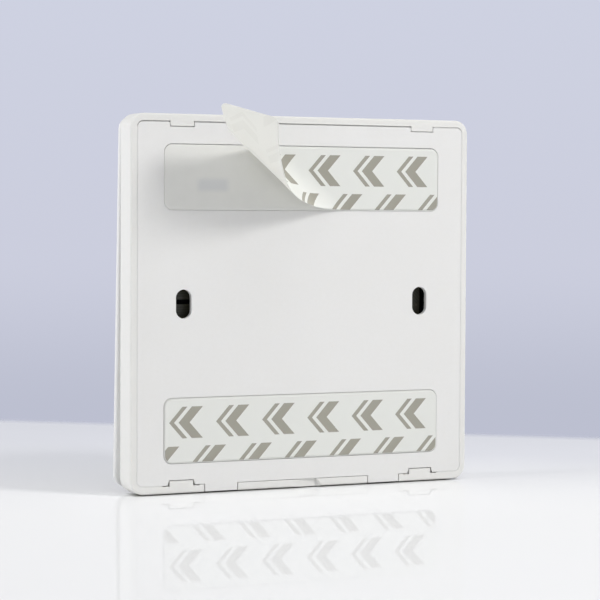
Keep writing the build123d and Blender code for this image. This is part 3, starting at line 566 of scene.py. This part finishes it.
def strip_piece(name, columns, rows, width, height, corner, skin):
    """A closed thin slab. skin(x, z, side) gives the place in mm of a point of the flat strip, for
    side 1 on the outer face and side 0 on the inner one. Its UV map holds the flat place in mm."""
    mesh = bpy.data.meshes.new(name)
    build = bmesh.new()
    flat = build.loops.layers.uv.new("flat")
    grid = {}
    spots = {}
    for i, x in enumerate(columns):
        reach = strip_reach(x, width, height, corner)
        for k in range(rows + 1):
            z = -reach + 2 * reach * k / rows
            for side in (0, 1):
                vert = build.verts.new(Vector(skin(x, z, side)) * mm)
                grid[i, k, side] = vert
                spots[vert] = (x, z)
    last = len(columns) - 1
    for i in range(last):
        for k in range(rows):
            for side in (0, 1):
                loop = [grid[i, k, side], grid[i + 1, k, side], grid[i + 1, k + 1, side],
                        grid[i, k + 1, side]]
                face = build.faces.new(loop if side else loop[::-1])
                face.material_index = 0 if side else 1
    rim = [(i, 0) for i in range(last)] + [(last, k) for k in range(rows)]
    rim += [(i, rows) for i in range(last, 0, -1)] + [(0, k) for k in range(rows, 0, -1)]
    for a, b in zip(rim, rim[1:] + rim[:1]):
        face = build.faces.new((grid[(*a, 0)], grid[(*b, 0)], grid[(*b, 1)], grid[(*a, 1)]))
        face.material_index = 2
    for face in build.faces:
        face.smooth = True
        for corner_loop in face.loops:
            corner_loop[flat].uv = spots[corner_loop.vert]
    bmesh.ops.recalc_face_normals(build, faces=build.faces)
    build.to_mesh(mesh)
    build.free()
    piece = bpy.data.objects.new(name, mesh)
    scene.collection.objects.link(piece)
    return piece


tack, tree, shader = new_material("adhesive_tacky_foam")
place = node(tree, "TexCoord").outputs["Object"]
cells = node(tree, "TexNoise", Vector=place, Scale=2400.0, Detail=3.0).outputs[0]
pull = node(tree, "TexNoise", Vector=place, Scale=260.0, Detail=2.0).outputs[0]
tack_colour = blend_colour(tree, pull, (0.74, 0.74, 0.705, 1), (0.785, 0.785, 0.75, 1))
tack_colour = blend_colour(tree, calc(tree, "MULTIPLY", cells, 0.25), tack_colour, (0.82, 0.82, 0.81, 1))
spot = node(tree, "SeparateXYZ", i0=place)
patch_x, patch_z = 23.1 * mm, 27.0 * mm  # a darker soft patch on the tack
off_x = calc(tree, "ABSOLUTE", calc(tree, "SUBTRACT", spot.outputs["X"], patch_x))
off_z = calc(tree, "ABSOLUTE", calc(tree, "SUBTRACT", spot.outputs["Z"], patch_z))
dark_patch = calc(tree, "MULTIPLY", remap(tree, off_x, 2.6 * mm, 4.7 * mm, 1, 0, smooth=True),
               remap(tree, off_z, 0.5 * mm, 2.2 * mm, 1, 0, smooth=True))
dark_patch = calc(tree, "MULTIPLY", dark_patch, 0.75)
tack_colour = blend_colour(tree, dark_patch, tack_colour, (0.648, 0.658, 0.665, 1))
tree.links.new(tack_colour, shader.inputs["Base Color"])
tree.links.new(remap(tree, pull, 0.3, 0.7, 0.34, 0.46), shader.inputs["Roughness"])
relief = calc(tree, "MULTIPLY_ADD", cells, 0.3, pull)
skin = node(tree, "Bump", Strength=0.35, Distance=0.05 * mm, Height=relief)
tree.links.new(skin.outputs[0], shader.inputs["Normal"])
shader.inputs["Coat Weight"].default_value = 0.25
shader.inputs["Coat Roughness"].default_value = 0.3
shader.inputs["Subsurface Weight"].default_value = 0.2
shader.inputs["Subsurface Radius"].default_value = (1.0, 1.0, 0.9)
shader.inputs["Subsurface Scale"].default_value = 0.8 * mm
columns = strip_columns(strip_w, strip_r, steps=60)
for name, middle in (("adhesive_upper", (0.05, recess_z - 0.05)), ("adhesive_lower", (0, -recess_z))):
    def foam_skin(x, z, side, middle=middle):
        return x + middle[0], strip_face - (0 if side else strip_t), z + middle[1]

    foam = strip_piece(name + "_foam", columns, 14, strip_w, strip_h, strip_r, foam_skin)
    for _ in ("outer face", "inner face", "cut edge"):
        foam.data.materials.append(tack)
    soft_edge = foam.modifiers.new("soft_edge", "BEVEL")
    soft_edge.width = 0.12 * mm
    soft_edge.segments = 2
    soft_edge.limit_method = "ANGLE"
    soft_edge.angle_limit = radians(60)
    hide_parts(name)
    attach(foam, "plate")

# Release liners: coated paper over each strip, printed on the outer side only. The lower one is in
# place, and the upper one has been peeled from one end and stands off in a curl.
liner_w, liner_h, liner_r, liner_t = 69.4, 14.4, 1.7, 0.1
liner_low = recess_z - liner_h / 2
peel_x = -12.5
peel_angle = radians(36.15)
apex_distance = 85.7
bends = ((7.5, 8.9), (13.6, 18.2), (60.0, 37.6))  # length and radius at the lower end of the peel line
ripple_height, ripple_turn, ripple_start, ripple_grows = 0.1, 0.42, 0.6, 30
along_line = Vector((cos(peel_angle), 0, sin(peel_angle)))
off_line = Vector((sin(peel_angle), 0, -cos(peel_angle)))
liner_middle = strip_face + liner_t / 2
apex = Vector((peel_x, liner_middle, liner_low)) + along_line * apex_distance


def peeled_skin(x, z, side):
    """Bends the flat upper liner as a cone round the apex without stretching it."""
    flat = Vector((x, liner_middle, z + recess_z)) - apex
    swing = atan2(flat.dot(off_line), -flat.dot(along_line))
    half_t = liner_t / 2 if side else -liner_t / 2
    if swing <= 0:
        return x, liner_middle + half_t, z + recess_z
    past = swing * apex_distance
    ruling, normal = -along_line, Vector((0, 1, 0))
    for length, radius in bends:
        part = min(swing, length / apex_distance)
        spin = -ruling * (apex_distance / radius) - normal
        roll = Matrix.Rotation(part * spin.length, 3, spin)
        ruling, normal = roll @ ruling, roll @ normal
        swing -= part
    wave = sin(flat.length * ripple_turn + ripple_start)
    ripple = ripple_height * wave * min(past / ripple_grows, 1) ** 2
    return apex + ruling * flat.length + normal * (half_t + ripple)


def flat_skin(x, z, side):
    """The lower liner lies flat on its strip."""
    return x, liner_middle + (liner_t / 2 if side else -liner_t / 2), z - recess_z


def liner_print_group():
    """Printed guide marks of a release liner: staggered rows of broad chevrons, in flat mm."""
    first_row, lean_share, thin_gap, thin_bar = 11.6, 0.9, 1.1, 1.2
    group, given, result = new_group(
        "liner_print", {"Pitch": 11.5, "Row pitch": 9.0, "Bar": 2.7, "Height": 7.2}, ("Ink",))
    place = node(group, "UVMap", {"uv_map": "flat"}).outputs[0]
    bleed = node(group, "TexNoise", Vector=place, Scale=3.0, Detail=2.0)
    shift = node(group, "VectorMath", {"operation": "MULTIPLY_ADD"}, i0=bleed.outputs["Color"],
                 i1=(0.06, 0.06, 0), i2=place)
    parts = node(group, "SeparateXYZ", i0=shift.outputs[0])
    across = calc(group, "ADD", parts.outputs["Y"], first_row)
    row = calc(group, "FLOOR", calc(group, "DIVIDE", across, given["Row pitch"]))
    odd = calc(group, "MODULO", row, 2.0)
    v = calc(group, "SUBTRACT", calc(group, "FLOORED_MODULO", across, given["Row pitch"]),
             calc(group, "MULTIPLY", given["Row pitch"], 0.5))
    stagger = calc(group, "MULTIPLY", odd, calc(group, "MULTIPLY", given["Pitch"], 0.5))
    along = calc(group, "ADD", parts.outputs["X"], stagger)
    lean = calc(group, "MULTIPLY", calc(group, "ABSOLUTE", v), lean_share)
    u = calc(group, "FLOORED_MODULO", calc(group, "ADD", along, lean), given["Pitch"])
    bar = calc(group, "LESS_THAN", u, given["Bar"])
    thin_from = calc(group, "ADD", given["Bar"], thin_gap)
    thin = calc(group, "MULTIPLY", calc(group, "GREATER_THAN", u, thin_from),
                calc(group, "LESS_THAN", u, calc(group, "ADD", thin_from, thin_bar)))
    half_height = calc(group, "MULTIPLY", given["Height"], 0.5)
    inside = calc(group, "LESS_THAN", calc(group, "ABSOLUTE", v), half_height)
    marks = calc(group, "MAXIMUM", bar, thin)
    group.links.new(calc(group, "MULTIPLY", marks, inside), result["Ink"])
    return group


liner_print = liner_print_group()


def coated_paper(name, ink_share, base, roughness):
    """Release paper: a smooth coat over faint fibres, with ink at the given share."""
    material, tree, shader = new_material(name)
    place = node(tree, "UVMap", {"uv_map": "flat"}).outputs[0]
    fibre = node(tree, "TexNoise", Vector=place, Scale=2.2, Detail=4.0, Roughness=0.7).outputs[0]
    fibre_colour = tuple(c * 0.97 for c in base[:3]) + (1,)
    paper = blend_colour(tree, fibre, fibre_colour, base)
    if ink_share:
        ink = node(tree, "Group", {"node_tree": liner_print}).outputs["Ink"]
        paper = blend_colour(tree, calc(tree, "MULTIPLY", ink, ink_share), paper, (0.375, 0.36, 0.305, 1))
    tree.links.new(paper, shader.inputs["Base Color"])
    tree.links.new(remap(tree, fibre, 0.3, 0.7, roughness, roughness + 0.08), shader.inputs["Roughness"])
    relief = node(tree, "Bump", Strength=0.2, Distance=0.03 * mm, Height=fibre)
    tree.links.new(relief.outputs[0], shader.inputs["Normal"])
    shader.inputs["Subsurface Weight"].default_value = 0.3
    shader.inputs["Subsurface Radius"].default_value = (1.0, 0.97, 0.9)
    shader.inputs["Subsurface Scale"].default_value = 0.5 * mm
    return material


liner_outer = coated_paper("liner_printed_paper", 1.0, (0.875, 0.885, 0.835, 1), roughness=0.34)
liner_inner = coated_paper("liner_coated_inner", 0.07, (0.855, 0.85, 0.79, 1), roughness=0.3)
liner_cut = coated_paper("liner_cut_edge", 0.0, (0.86, 0.86, 0.85, 1), roughness=0.6)
liner_columns = strip_columns(liner_w, liner_r, steps=190)
for name, liner_skin, lying in (("liner_upper", peeled_skin, "stretched"),
                                ("liner_lower", flat_skin, "laid")):
    paper = strip_piece(name + "_paper", liner_columns, 40, liner_w, liner_h, liner_r, liner_skin)
    for material in (liner_outer, liner_inner, liner_cut):
        paper.data.materials.append(material)
    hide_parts(name)
    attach(paper, "plate")
